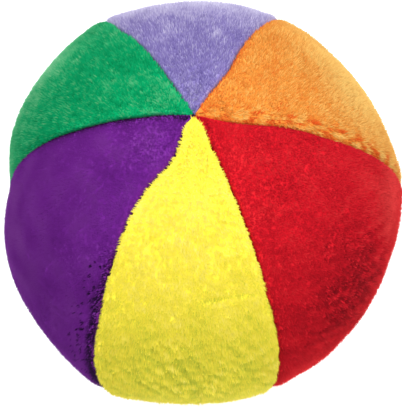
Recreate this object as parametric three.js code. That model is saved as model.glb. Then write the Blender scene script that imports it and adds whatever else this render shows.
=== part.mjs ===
// A six-panel plush juggling ball, in millimetres, with +Z from its flat base to its crown.
//
// Six gores of plush are sewn edge to edge round the Z axis. Each gore's edges are turned in, a seam
// thread binds each pair of edges from inside, a tack gathers the six points at each end, and the
// cover holds a cloth liner full of plastic pellets.

import * as THREE from 'three';
import { LoftGeometry } from 'three/addons/geometries/LoftGeometry.js';

// Overall sizes.
const ballRadius = 38; // axis to a seam ridge at mid height, over the pile
const crownRise = 37; // mid height to the crown
const baseRadius = 13; // the flat patch that the ball rests on
const panelFlatness = 0.26; // 0 gives a round cross-section, 1 a true hexagon

// The plush and its seams.
const pile = 2.4; // standing height of the pile
const backing = 0.8; // knitted ground of the plush
const allowanceWidth = 4.5; // edge turned in at each seam
const allowanceThickness = 0.8;
const grooveDepth = 0.9; // how far the pile dips at a seam
const grooveWidth = 1.6; // seam line to the full height of the pile

// Threads, liner and filling.
const seamThread = 0.7; // diameter of the overlocked seam thread
const handThread = 0.5; // diameter of the closing stitch's thread
const stitchSwing = 0.8; // how far a closing stitch steps to each side of the seam
const stitchLength = 4; // closing stitch, along the seam
const tackRadius = 0.7; // knotted stem that gathers the six points
const tackHeadRadius = 2.2;
const linerCloth = 0.6;
const linerThread = 0.4; // diameter
const knotRadius = 1; // mean radius of the knot in the liner's thread

// Clearances between pieces that lie against each other.
const clearance = 0.3;

// The gap left for turning the cover right side out, as polar angles from the crown.
const gapStart = THREE.MathUtils.degToRad(96);
const gapEnd = THREE.MathUtils.degToRad(136);

// Seams in anticlockwise order seen from above. azimuth is at mid height, sway is how far the line
// leans round at the crown (and back at the base), stand is how far the ridge stands out of round.
const seams = [
  { name: 'purple_yellow', azimuth: -119, sway: -6, stand: 1.2 },
  { name: 'yellow_red', azimuth: -68, sway: 3, stand: -1 },
  { name: 'red_orange', azimuth: 2, sway: -5, stand: 0 },
  { name: 'orange_lavender', azimuth: 62, sway: -1, stand: -0.7 },
  { name: 'lavender_green', azimuth: 119, sway: -1, stand: 0.4 },
  { name: 'green_purple', azimuth: 176, sway: -2, stand: -3.6 },
];

// Each panel lies between the seam of the same place in the list above and the next one.
const panels = [
  { name: 'panel_yellow', colour: 0xefe24a },
  { name: 'panel_red', colour: 0xcc1f29 },
  { name: 'panel_orange', colour: 0xf09a3e },
  { name: 'panel_lavender', colour: 0x8c7fc6 },
  { name: 'panel_green', colour: 0x18a468 },
  { name: 'panel_purple', colour: 0x64208a },
];

// The seam that is closed by hand after filling.
const handSewnSeam = 'lavender_green';

// How finely the pieces are divided.
const panelRows = 15;
const baseRows = 3;
const outerColumns = 5;
const innerColumns = 3;
const linerColumns = 4;
const linerRows = 7;
const threadSides = 6;

// Depths under the pile tips.
const plushDepth = pile + backing;
const hemDepth = plushDepth + allowanceThickness;
const threadDepth = hemDepth + clearance + seamThread / 2;
const linerDepth = threadDepth + seamThread / 2 + clearance;
const linerInside = linerDepth + linerCloth;
const fillDepth = linerInside + clearance;

// Mid height above the base, and the polar angle of the edge of the flat patch.
const middle = crownRise * Math.sqrt(1 - (baseRadius / ballRadius) ** 2);
const flatEdge = Math.PI - Math.asin(baseRadius / ballRadius);

// The panels' points stop at a small hole that the tack passes through.
const panelAngle = (2 * Math.PI) / panels.length;
const holeRadius = (tackRadius + clearance) / Math.cos(panelAngle / 2);
const pointAngle = Math.asin(holeRadius / (ballRadius * flatten(0.5) - hemDepth));

// Share of the ridge radius left at a place across a panel, from 0 at one seam to 1 at the next.
function flatten(across) {
  const turn = (across - 0.5) * panelAngle;
  return 1 - panelFlatness * (1 - Math.cos(panelAngle / 2) / Math.cos(turn));
}

// Azimuth of a seam at a polar angle from the crown.
function seamAzimuth(seam, polar) {
  return THREE.MathUtils.degToRad(seam.azimuth + seam.sway * Math.cos(polar));
}

// Azimuths of a panel's two edges. The second is always further round than the first.
function panelEdges(index, polar) {
  const from = seamAzimuth(seams[index], polar);
  const to = seamAzimuth(seams[(index + 1) % seams.length], polar);
  return [from, to > from ? to : to + 2 * Math.PI];
}

// A point of the ball: a panel, a polar angle from the crown, a place across the panel from 0 at one
// seam to 1 at the next, and a depth under the pile tips.
function skinPoint(index, polar, across, depth) {
  const [from, to] = panelEdges(index, polar);
  const near = seams[index].stand * Math.max(1 - 2 * across, 0) ** 2;
  const far = seams[(index + 1) % seams.length].stand * Math.max(2 * across - 1, 0) ** 2;
  const stand = (near + far) * Math.sin(polar) ** 2;
  const radius = (ballRadius * flatten(across) + stand - depth) * Math.sin(polar);
  const azimuth = from + (to - from) * across;
  const height = middle + (crownRise - depth) * Math.cos(polar);
  return new THREE.Vector3(
    radius * Math.cos(azimuth),
    radius * Math.sin(azimuth),
    Math.max(height, depth),
  );
}

// A panel's width at a polar angle, measured behind its turned-in edges.
function panelWidth(index, polar) {
  const [from, to] = panelEdges(index, polar);
  return (to - from) * (ballRadius - hemDepth) * Math.sin(polar);
}

// Evenly spaced values from start to end.
function spread(start, end, steps) {
  return Array.from({ length: steps + 1 }, (_, i) => start + ((end - start) * i) / steps);
}

// The closed outline of a panel at one polar angle: turned-in edges and inner face, then pile tips.
function panelSection(index, polar) {
  const width = panelWidth(index, polar);
  const edge = clearance / 2 / width;
  const shoulder = Math.min(grooveWidth / width, 0.2);
  const hem = Math.min(allowanceWidth / width, 0.3);
  const hemFoot = hem - Math.min(allowanceThickness / width, hem / 3);
  const inner = spread(hem, 1 - hem, innerColumns + 1);
  const outer = spread(1 - shoulder, shoulder, outerColumns + 1);
  const at = (across, depth) => skinPoint(index, polar, across, depth);
  return [
    at(edge, hemDepth),
    at(hemFoot, hemDepth),
    ...inner.map((across) => at(across, plushDepth)),
    at(1 - hemFoot, hemDepth),
    at(1 - edge, hemDepth),
    at(1 - edge, grooveDepth),
    ...outer.map((across) => at(across, 0)),
    at(edge, grooveDepth),
  ];
}

function panelGeometry(index) {
  const side = spread(pointAngle, flatEdge, panelRows);
  const flat = spread(flatEdge, Math.PI - pointAngle, baseRows).slice(1);
  const sections = [...side, ...flat].map((polar) => panelSection(index, polar));
  return new LoftGeometry(sections, { capStart: true, capEnd: true });
}

// A thread of the given diameter along a list of points.
function threadGeometry(points, diameter, steps) {
  const section = new THREE.Shape();
  section.absarc(0, 0, diameter / 2, 0, 2 * Math.PI);
  return new THREE.ExtrudeGeometry(section, {
    extrudePath: new THREE.CatmullRomCurve3(points),
    curveSegments: threadSides / 2, // a full circle takes twice this
    steps,
  });
}

// A stretch of seam thread, bound along the raw edges just inside the turned-in plush.
function seamThreadGeometry(index, start, end) {
  const steps = Math.ceil((end - start) / (Math.PI / 20));
  const points = spread(start, end, steps).map((polar) => skinPoint(index, polar, 0, threadDepth));
  return threadGeometry(points, seamThread, steps);
}

// The ladder stitch steps from one folded edge to the other along the turning gap.
function closingStitchGeometry(index) {
  const inset = (seamThread + clearance * 2) / ballRadius;
  const length = (gapEnd - gapStart) * (ballRadius - threadDepth);
  const stitches = Math.round(length / stitchLength) * 2;
  const points = spread(gapStart + inset, gapEnd - inset, stitches).map((polar, i) => {
    const swing = i % 2 === 0 ? stitchSwing : -stitchSwing;
    return skinPoint(index, polar, swing / panelWidth(index, polar), threadDepth);
  });
  return threadGeometry(points, handThread, stitches * 3);
}

// A knotted tack under its own origin: a stem through the hole with a flat head behind the six points.
// The stem ends at the pile's roots, so it never shows.
function tackGeometry() {
  const top = -pile;
  const neck = -hemDepth - clearance;
  const bottom = neck - seamThread;
  const profile = [
    new THREE.Vector2(0, bottom),
    new THREE.Vector2(tackHeadRadius, bottom),
    new THREE.Vector2(tackHeadRadius, neck),
    new THREE.Vector2(tackRadius, neck),
    new THREE.Vector2(tackRadius, top),
    new THREE.Vector2(0, top),
  ];
  return new THREE.LatheGeometry(profile, 12);
}

// One full ring round the ball at a polar angle and depth, clockwise seen from above.
function ringSection(polar, depth) {
  const across = spread(0, 1, linerColumns).slice(0, -1);
  const ring = panels.flatMap((_, index) => across.map((a) => skinPoint(index, polar, a, depth)));
  return ring.reverse();
}

// Half of the liner: over its outer face from the pole to the rim, and back inside.
function linerHalfGeometry(pole, rim) {
  const outer = spread(pole, rim, linerRows).map((polar) => ringSection(polar, linerDepth));
  const inner = spread(rim, pole, linerRows).map((polar) => ringSection(polar, linerInside));
  const sections = [...outer, ...inner];
  if (rim < pole) sections.forEach((section) => section.reverse());
  return new LoftGeometry(sections);
}

// The liner's thread runs once round between the two rims.
function linerThreadGeometry() {
  const depth = (linerDepth + linerInside) / 2;
  const middles = ringSection(Math.PI / 2, depth);
  const turns = spread(0, 2 * Math.PI, threadSides).slice(0, -1);
  const sections = [...middles, middles[0]].map((centre) => {
    const outward = new THREE.Vector3(centre.x, centre.y, 0).normalize();
    return turns.map((turn) =>
      centre
        .clone()
        .addScaledVector(outward, (linerThread / 2) * Math.cos(turn))
        .add(new THREE.Vector3(0, 0, (linerThread / 2) * Math.sin(turn))),
    );
  });
  return new LoftGeometry(sections);
}

function pelletFillGeometry() {
  const sections = spread(0, Math.PI, linerRows * 2).map((polar) => ringSection(polar, fillDepth));
  return new LoftGeometry(sections);
}

// The sewn ball, with its seams' axis on Z until it is centred at the end.
const sewn = new THREE.Group();

function addPiece(name, geometry, colour, roughness) {
  const material = new THREE.MeshStandardMaterial({ color: colour, roughness, metalness: 0 });
  const mesh = new THREE.Mesh(geometry, material);
  mesh.name = name;
  sewn.add(mesh);
  return mesh;
}

// Plush panels.
panels.forEach((panel, index) => addPiece(panel.name, panelGeometry(index), panel.colour, 0.95));

// Seam threads. They start clear of the tacks' heads, and one seam has a gap that is sewn by hand.
const threadStart = Math.asin((tackHeadRadius + clearance + seamThread) / (ballRadius - threadDepth));
const threadEnd = Math.PI - threadStart;
const threadColour = 0xe9e4d8;
seams.forEach((seam, index) => {
  const add = (suffix, start, end) =>
    addPiece(`seam_thread_${seam.name}${suffix}`, seamThreadGeometry(index, start, end), threadColour, 0.7);
  if (seam.name === handSewnSeam) {
    add('_upper', threadStart, gapStart);
    add('_lower', gapEnd, threadEnd);
    addPiece('closing_stitch', closingStitchGeometry(index), threadColour, 0.7);
  } else {
    add('', threadStart, threadEnd);
  }
});

// Tacks that gather the points of the six panels, turned from the lathe's own axis to Z.
const crownTack = addPiece('crown_tack', tackGeometry(), threadColour, 0.7);
crownTack.rotation.x = Math.PI / 2;
crownTack.position.z = middle + crownRise;
addPiece('base_tack', tackGeometry(), threadColour, 0.7).rotation.x = -Math.PI / 2;

// Cloth liner in two halves, with the thread that joins them and its knot.
const linerColour = 0xdedad0;
const rimStep = (linerThread / 2 + clearance) / (crownRise - linerInside);
addPiece('liner_upper', linerHalfGeometry(0, Math.PI / 2 - rimStep), linerColour, 0.9);
addPiece('liner_lower', linerHalfGeometry(Math.PI, Math.PI / 2 + rimStep), linerColour, 0.9);
addPiece('liner_thread', linerThreadGeometry(), threadColour, 0.7);

// The knot lies flat against the liner behind the middle of the lavender panel.
const knotPanel = panels.findIndex((panel) => panel.name === 'panel_lavender');
const knotTube = linerThread / 2;
const knotPlace = skinPoint(knotPanel, Math.PI / 2, 0.5, (plushDepth + linerDepth) / 2);
const knot = new THREE.TorusKnotGeometry(knotRadius, knotTube, 36, 5);
const linerKnot = addPiece('liner_knot', knot, threadColour, 0.7);
linerKnot.position.copy(knotPlace);
linerKnot.lookAt(knotPlace.x * 2, knotPlace.y * 2, knotPlace.z);

// Filling.
addPiece('pellet_fill', pelletFillGeometry(), 0xf2f0ea, 0.5);

// The ball stands on Z = 0 with the middle of its outline over the origin.
const outline = new THREE.Box3().setFromObject(sewn).getCenter(new THREE.Vector3());
sewn.position.set(-outline.x, -outline.y, 0);

const ball = new THREE.Group();
ball.add(sewn);

export default ball;
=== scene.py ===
"""A hand-sized juggling ball sewn from six plush gores over a cloth liner full of pellets.

Each gore is a closed piece of plush with turned-in edges and a nap of separate pile fibres. Seam
threads, two tacks, a two-part liner and loose pellets fill the inside.
"""

import logging
import math
from dataclasses import dataclass, field
from enum import Enum
from typing import Any, Sequence

import bmesh
import bpy
import numpy as np
from mathutils import Matrix, Vector


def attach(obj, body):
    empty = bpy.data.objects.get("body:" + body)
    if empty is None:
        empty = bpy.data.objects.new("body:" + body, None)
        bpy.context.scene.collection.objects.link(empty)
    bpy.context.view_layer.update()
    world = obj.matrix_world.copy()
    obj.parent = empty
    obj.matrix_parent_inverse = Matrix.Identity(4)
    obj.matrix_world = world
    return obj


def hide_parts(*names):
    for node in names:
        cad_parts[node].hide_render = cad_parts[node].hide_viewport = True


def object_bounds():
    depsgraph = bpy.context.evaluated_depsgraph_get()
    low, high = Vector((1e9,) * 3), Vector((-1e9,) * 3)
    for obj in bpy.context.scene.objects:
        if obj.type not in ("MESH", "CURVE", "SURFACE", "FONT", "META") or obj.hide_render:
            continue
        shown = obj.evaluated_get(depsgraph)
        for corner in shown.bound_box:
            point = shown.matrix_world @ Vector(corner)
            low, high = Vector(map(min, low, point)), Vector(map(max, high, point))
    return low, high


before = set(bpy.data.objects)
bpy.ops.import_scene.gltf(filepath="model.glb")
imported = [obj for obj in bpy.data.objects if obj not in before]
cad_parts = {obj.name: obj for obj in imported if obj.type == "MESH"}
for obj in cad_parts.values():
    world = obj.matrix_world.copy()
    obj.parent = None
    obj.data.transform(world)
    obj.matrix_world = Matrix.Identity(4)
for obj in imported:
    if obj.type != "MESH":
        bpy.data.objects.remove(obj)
CAD_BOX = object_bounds()

LOG = logging.getLogger("juggling_ball")
MM = 0.001
MERGE = 0.004 * MM  # corners nearer than this are one
THREAD_SIDES = 10
RINGS_PER_TURN = 8
PLY_GROOVE = 0.26  # depth of the groove between two plies, as a share of the thread's radius
FIBRE_MAP = "OFBake"  # the name of the fibres' own UV map


# ---------------------------------------------------------------------------------------------
# Small helpers


def linear_colour(code: str) -> tuple[float, float, float, float]:
    """Turn an sRGB hex colour into the linear values that shaders take.

    Args:
        code: six hex digits with a leading hash, such as "#cc2030".

    Returns:
        Linear red, green, blue and an alpha of 1.
    """
    values = [int(code[i : i + 2], 16) / 255 for i in (1, 3, 5)]
    linear = [v / 12.92 if v <= 0.04045 else ((v + 0.055) / 1.055) ** 2.4 for v in values]
    return (*linear, 1.0)


def add_node(
    tree: bpy.types.NodeTree, kind: str, links: dict[Any, Any] | None = None, **settings: Any
) -> Any:
    """Add one node to a tree with its settings, values and incoming links.

    Args:
        tree: the material's node tree.
        kind: the node's type name, such as "ShaderNodeTexNoise".
        links: socket name or number to an output socket to link, or to a plain value.
        settings: attributes of the node itself.

    Returns:
        The new node.
    """
    node = tree.nodes.new(kind)
    for name, value in settings.items():
        setattr(node, name, value)
    for name, value in (links or {}).items():
        if isinstance(value, bpy.types.NodeSocket):
            tree.links.new(value, node.inputs[name])
        else:
            node.inputs[name].default_value = value
    return node


def new_material(name: str) -> tuple[bpy.types.Material, bpy.types.NodeTree, Any]:
    """Make a node material with one Principled shader.

    Args:
        name: the material's name.

    Returns:
        The material, its node tree and the Principled node.
    """
    material = bpy.data.materials.new(name)
    material.use_nodes = True
    return material, material.node_tree, material.node_tree.nodes["Principled BSDF"]


def ramp_node(tree: bpy.types.NodeTree, factor: Any, stops: Sequence[tuple[float, Any]]) -> Any:
    """Add a colour ramp with the given stops and return its colour output."""
    node = add_node(tree, "ShaderNodeValToRGB", {"Fac": factor})
    elements = node.color_ramp.elements
    while len(elements) < len(stops):
        elements.new(0.5)
    for element, (place, colour) in zip(elements, stops):
        element.position = place
        element.color = colour
    return node.outputs["Color"]


def paint(tree: bpy.types.NodeTree, shader: Any, factor: Any, stops: Sequence[tuple[float, Any]]) -> None:
    """Colour a shader with a ramp of linear colours over a factor."""
    tree.links.new(ramp_node(tree, factor, stops), shader.inputs["Base Color"])


def roughen(tree: bpy.types.NodeTree, shader: Any, height: Any, strength: float, distance: float) -> None:
    """Give a shader a bump of a height, with its distance in metres."""
    bump = add_node(tree, "ShaderNodeBump", {"Height": height, "Strength": strength, "Distance": distance})
    tree.links.new(bump.outputs["Normal"], shader.inputs["Normal"])


def show_piece(name: str, mesh: bpy.types.Mesh, *materials: bpy.types.Material) -> bpy.types.Object:
    """Put a finished mesh in the scene as a piece at the origin.

    Args:
        name: the piece's name.
        mesh: its mesh, with its place in its vertices.
        materials: its material slots in order.

    Returns:
        The new object.
    """
    mesh.name = name
    for material in materials:
        mesh.materials.append(material)
    piece = bpy.data.objects.new(name, mesh)
    bpy.context.scene.collection.objects.link(piece)
    return piece


def mesh_from(bm: bmesh.types.BMesh) -> bpy.types.Mesh:
    """Turn a bmesh into a smooth mesh and free it. show_piece names it."""
    mesh = bpy.data.meshes.new("mesh")
    bm.to_mesh(mesh)
    bm.free()
    mesh.polygons.foreach_set("use_smooth", np.ones(len(mesh.polygons), bool))
    return mesh


def unit(vectors: np.ndarray) -> np.ndarray:
    """Vectors scaled to length 1 along their last axis."""
    return vectors / np.maximum(np.linalg.norm(vectors, axis=-1, keepdims=True), 1e-12)


class WaveField:
    """Soft random relief over space: waves of about one length in random directions."""

    def __init__(self, seed: int, wavelength: float, waves: int = 20) -> None:
        """Choose the waves.

        Args:
            seed: number that the directions and phases are drawn from.
            wavelength: typical distance between crests, in metres.
            waves: how many are added together.
        """
        draw = np.random.default_rng(seed)
        directions = unit(draw.normal(size=(waves, 3)))
        self.vectors = directions * (2 * math.pi / wavelength) * draw.uniform(0.7, 1.4, (waves, 1))
        self.phases = draw.uniform(0, 2 * math.pi, waves)

    def at(self, points: np.ndarray) -> np.ndarray:
        """The relief at points of shape (..., 3), with a spread of about 1."""
        total = np.zeros(points.shape[:-1])
        for vector, phase in zip(self.vectors, self.phases):
            total += np.sin(points @ vector + phase)
        return total * math.sqrt(2 / len(self.phases))


def bend_grid(bm: bmesh.types.BMesh, points: np.ndarray) -> None:
    """Add a grid to a bmesh and bend it over points of shape (rows, columns, 3)."""
    rows, columns = points.shape[:2]
    made = bmesh.ops.create_grid(bm, x_segments=columns - 1, y_segments=rows - 1, size=1)
    for vert, point in zip(made["verts"], points.reshape(-1, 3)):
        vert.co = point


def closed_mesh(bm: bmesh.types.BMesh, merge: float = MERGE) -> bpy.types.Mesh:
    """Merge what meets, fill what is open, turn the faces outwards and free the bmesh.

    Args:
        bm: the shape so far.
        merge: distance in metres under which corners become one.

    Returns:
        The closed mesh.
    """
    bmesh.ops.remove_doubles(bm, verts=bm.verts, dist=merge)
    bmesh.ops.holes_fill(bm, edges=[edge for edge in bm.edges if edge.is_boundary], sides=0)
    bmesh.ops.recalc_face_normals(bm, faces=bm.faces)
    return mesh_from(bm)


def bent_tube(points: np.ndarray) -> bpy.types.Mesh:
    """A closed mesh over rings of points, shape (rings, points, 3)."""
    bm = bmesh.new()
    bend_grid(bm, np.concatenate([points, points[:, :1]], axis=1))
    return closed_mesh(bm)


def scatter_copies(template: bpy.types.Mesh, places: np.ndarray, axes: np.ndarray) -> bpy.types.Mesh:
    """Join many turned and scaled copies of a small mesh into one.

    Args:
        template: the shape that is repeated, made of triangles.
        places: where each copy's origin goes, shape (n, 3).
        axes: each copy's own x, y and z directions with their scales, shape (n, 3, 3).

    Returns:
        The joined mesh.
    """
    points = np.empty(len(template.vertices) * 3, np.float32)
    template.vertices.foreach_get("co", points)
    points = points.reshape(-1, 3)
    corners = np.empty(len(template.loops), np.int32)
    template.loops.foreach_get("vertex_index", corners)
    copies = len(places)
    moved = np.einsum("vk,nkc->nvc", points, axes) + places[:, None, :]
    loops = corners[None, :] + (np.arange(copies, dtype=np.int32) * len(points))[:, None]
    mesh = bpy.data.meshes.new("copies")
    mesh.vertices.add(copies * len(points))
    mesh.vertices.foreach_set("co", moved.astype(np.float32).ravel())
    mesh.loops.add(loops.size)
    mesh.loops.foreach_set("vertex_index", loops.ravel().astype(np.int32))
    mesh.polygons.add(loops.size // 3)
    mesh.polygons.foreach_set("loop_start", np.arange(0, loops.size, 3, dtype=np.int32))
    mesh.update(calc_edges=True)
    return mesh


def twisted_thread(path: np.ndarray, diameter: float, lay: float, closed: bool = False) -> bpy.types.Mesh:
    """A two-ply thread along a path.

    Args:
        path: points along its middle, shape (n, 3).
        diameter: over both plies.
        lay: length of one full turn of the twist.
        closed: whether the thread runs round into itself.

    Returns:
        The thread's mesh, with its ends filled unless it is closed.
    """
    steps = np.linalg.norm(np.diff(path, axis=0), axis=1)
    travel = np.concatenate([[0.0], np.cumsum(steps)])
    samples = max(int(travel[-1] / (lay / RINGS_PER_TURN)), 24)
    turns = round(travel[-1] / lay)
    places = np.linspace(0, travel[-1], samples + 1)
    middle = np.stack([np.interp(places, travel, path[:, k]) for k in range(3)], axis=1)
    tangent = unit(np.gradient(middle, axis=0))
    if closed:
        tangent[0] = tangent[-1] = unit(tangent[0] + tangent[-1])
    side = unit(np.cross(tangent, unit(middle - middle.mean(axis=0) + 1e-9)))
    up = np.cross(side, tangent)
    around = np.linspace(0, 2 * math.pi, THREAD_SIDES, endpoint=False)[None, :]
    twist = np.linspace(0, turns * 2 * math.pi, samples + 1)[:, None]
    radius = diameter / 2 * (1 - PLY_GROOVE + PLY_GROOVE * np.abs(np.cos(around - twist)))
    ring = np.cos(around)[..., None] * side[:, None] + np.sin(around)[..., None] * up[:, None]
    points = middle[:, None] + radius[..., None] * ring
    if closed:
        points[-1] = points[0]
    return bent_tube(points)


# ---------------------------------------------------------------------------------------------
# The ball's shape, shared by every piece


@dataclass(frozen=True)
class Bend:
    """A place where a hand-guided seam strays.

    polar is its angle from the crown and reach how far that spreads, in radians. stray is in
    millimetres.
    """

    polar: float
    reach: float
    stray: float


@dataclass(frozen=True)
class Seam:
    """One seam line from the crown to the base.

    azimuth and sway are in degrees: sway is how far the line leans round at the crown and back at
    the base. stand is how far the ridge stands out of round, in millimetres.
    """

    name: str
    azimuth: float
    sway: float
    stand: float
    bends: tuple[Bend, ...] = ()


SEAMS = (
    Seam(
        "purple_yellow", -119, -6, 1.2,
        (Bend(0.06, 0.06, -0.6), Bend(0.23, 0.12, 1.2), Bend(0.55, 0.2, -0.5), Bend(1.1, 0.2, 0.4)),
    ),
    Seam("yellow_red", -68, 3, -1, (Bend(0.07, 0.07, 0.5), Bend(0.3, 0.2, 0.25), Bend(0.93, 0.15, -0.4))),
    Seam("red_orange", 2, -5, 0, (Bend(0.22, 0.16, -0.65), Bend(0.72, 0.15, -0.3))),
    Seam("orange_lavender", 62, -1, -0.7, (Bend(0.3, 0.13, -0.75),)),
    Seam("lavender_green", 119, -1, 0.4, (Bend(0.8, 0.2, 0.5),)),
    Seam("green_purple", 176, -2, -3.6, (Bend(0.16, 0.08, -0.35), Bend(0.6, 0.2, 0.6), Bend(0.9, 0.15, 0.4))),
)


@dataclass
class BallShape:
    """The ball's outer form at the pile tips, and the depths of its layers, in metres."""

    cad_height: float
    ball_radius: float = 38 * MM
    crown_rise: float = 37 * MM
    base_radius: float = 13 * MM
    panel_flatness: float = 0.26
    pile: float = 2.4 * MM
    backing: float = 0.8 * MM
    allowance_width: float = 4.5 * MM
    allowance_thickness: float = 0.8 * MM
    clearance: float = 0.3 * MM
    seam_thread: float = 0.7 * MM
    liner_cloth: float = 0.6 * MM
    hole_radius: float = 1.2 * MM
    seams: tuple[Seam, ...] = SEAMS
    axis: np.ndarray = field(default_factory=lambda: np.zeros(2))

    def __post_init__(self) -> None:
        """Fit the height to the CAD part and centre the outline over the origin."""
        self.middle = self.crown_rise * math.sqrt(1 - (self.base_radius / self.ball_radius) ** 2)
        self.fit = self.cad_height / (self.middle + self.crown_rise)
        polar, across = np.meshgrid(np.linspace(0.5, 2.6, 60), np.linspace(0, 1, 40), indexing="ij")
        gores = [self.skin(i, polar, across, 0.0).reshape(-1, 3) for i in range(len(self.seams))]
        points = np.concatenate(gores)
        self.axis = -(points[:, :2].min(axis=0) + points[:, :2].max(axis=0)) / 2

    @property
    def plush_depth(self) -> float:
        """Depth of the plush's inner face under the pile tips."""
        return self.pile + self.backing

    @property
    def hem_depth(self) -> float:
        """Depth of the turned-in edge's inner face."""
        return self.plush_depth + self.allowance_thickness

    @property
    def thread_depth(self) -> float:
        """Depth of the middle of the seam thread."""
        return self.hem_depth + self.clearance + self.seam_thread / 2

    @property
    def liner_depth(self) -> float:
        """Depth of the liner's outer face."""
        return self.thread_depth + self.seam_thread / 2 + self.clearance

    @property
    def fill_depth(self) -> float:
        """Depth of the outermost pellets."""
        return self.liner_depth + self.liner_cloth + self.clearance

    @property
    def point_angle(self) -> float:
        """Polar angle of the small hole where the six points meet."""
        return math.asin(self.hole_radius / (self.ball_radius * float(self.flatten(0.5)) - self.hem_depth))

    def flatten(self, across: Any) -> Any:
        """Share of the ridge radius left at a place across a panel, 0 and 1 being its seams."""
        panel_angle = 2 * math.pi / len(self.seams)
        turn = (across - 0.5) * panel_angle
        return 1 - self.panel_flatness * (1 - math.cos(panel_angle / 2) / np.cos(turn))

    def seam_azimuth(self, seam: Seam, polar: np.ndarray) -> np.ndarray:
        """Azimuth of a seam at a polar angle, in radians."""
        bends = (bend.stray * np.exp(-(((polar - bend.polar) / bend.reach) ** 2)) for bend in seam.bends)
        stray = MM * sum(bends)
        ring = self.ball_radius * np.maximum(np.sin(polar), 0.05)
        return np.radians(seam.azimuth + seam.sway * np.cos(polar)) + stray / ring

    def edges(self, panel: int, polar: np.ndarray) -> tuple[np.ndarray, np.ndarray]:
        """Azimuths of a panel's two seams at a polar angle, the second further round."""
        start = self.seam_azimuth(self.seams[panel], polar)
        end = self.seam_azimuth(self.seams[(panel + 1) % len(self.seams)], polar)
        return start, np.where(end > start, end, end + 2 * math.pi)

    def width(self, panel: int, polar: np.ndarray) -> np.ndarray:
        """A panel's width at a polar angle, measured behind its turned-in edges."""
        start, end = self.edges(panel, polar)
        return (end - start) * (self.ball_radius - self.hem_depth) * np.sin(polar)

    def skin(self, panel: int, polar: np.ndarray, across: np.ndarray, depth: Any) -> np.ndarray:
        """Points of the ball.

        Args:
            panel: the panel's place round the ball.
            polar: angle from the crown.
            across: 0 at the panel's first seam to 1 at its second.
            depth: distance under the pile tips.

        Returns:
            Points of the inputs' shared shape with x, y and z last.
        """
        start, end = self.edges(panel, polar)
        near = self.seams[panel].stand * np.clip(1 - 2 * across, 0, None) ** 2
        far = self.seams[(panel + 1) % len(self.seams)].stand * np.clip(2 * across - 1, 0, None) ** 2
        stand = MM * (near + far) * np.sin(polar) ** 2
        radius = (self.ball_radius * self.flatten(across) + stand - depth) * np.sin(polar)
        azimuth = start + (end - start) * across
        height = np.maximum(self.middle + (self.crown_rise - depth) * np.cos(polar), depth)
        x = radius * np.cos(azimuth) * self.fit + self.axis[0]
        y = radius * np.sin(azimuth) * self.fit + self.axis[1]
        return np.stack(np.broadcast_arrays(x, y, height * self.fit), axis=-1)

    def directions(self, panel: int, polar: np.ndarray, across: np.ndarray) -> tuple[np.ndarray, np.ndarray]:
        """Directions out of the ball and down the panel, at the same places as skin."""
        step = 0.01
        down = unit(self.skin(panel, polar + step, across, 0.0) - self.skin(panel, polar - step, across, 0.0))
        round_ = self.skin(panel, polar, across + step, 0.0) - self.skin(panel, polar, across - step, 0.0)
        return unit(np.cross(down, round_)), down


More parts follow.
